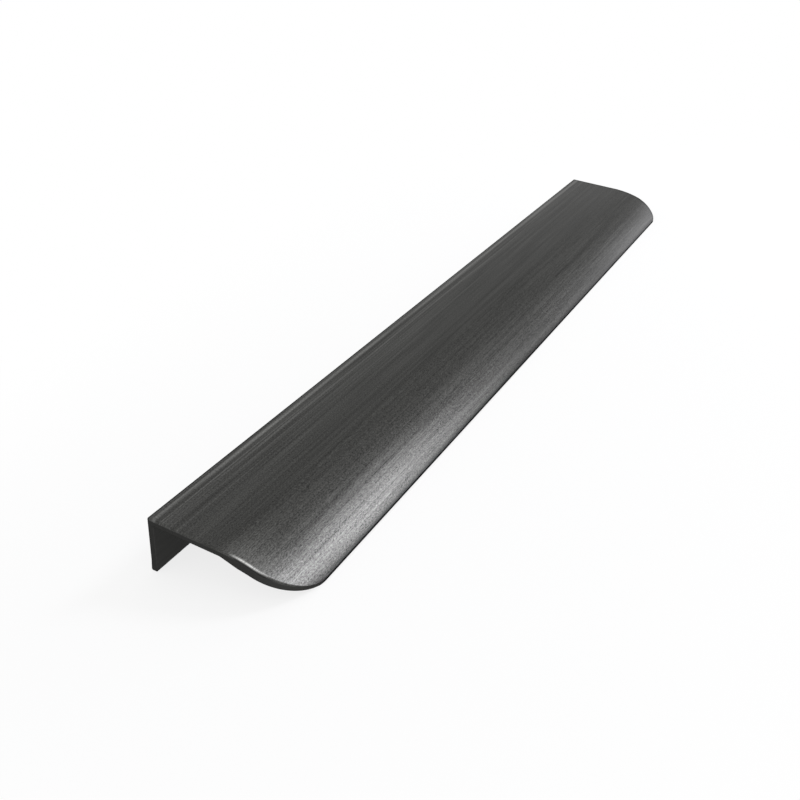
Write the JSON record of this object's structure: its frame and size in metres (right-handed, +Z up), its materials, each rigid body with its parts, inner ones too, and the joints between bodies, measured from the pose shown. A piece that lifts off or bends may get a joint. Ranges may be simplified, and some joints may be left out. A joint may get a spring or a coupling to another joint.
{
  "type": "handleless finger pull profile",
  "caption": "Dark anodised aluminium edge pull: a short back leg, a flat plate over the board's top edge and a drooping lip with rounded corners to hook the fingers under.",
  "frame": {"origin": "middle of the outline's footprint, on the level floor that the part rests on", "axes": "+X along the profile, +Y out of the back of the leg, lip towards -Y, +Z up as it lies"},
  "size_m": [0.3, 0.0444, 0.0164],
  "materials": {
    "anodised_aluminium": "graphite anodised over fine lengthwise brushing"
  },
  "bodies": {
    "root": {"finger_pull_profile": "anodised_aluminium"}
  },
  "joints": []
}
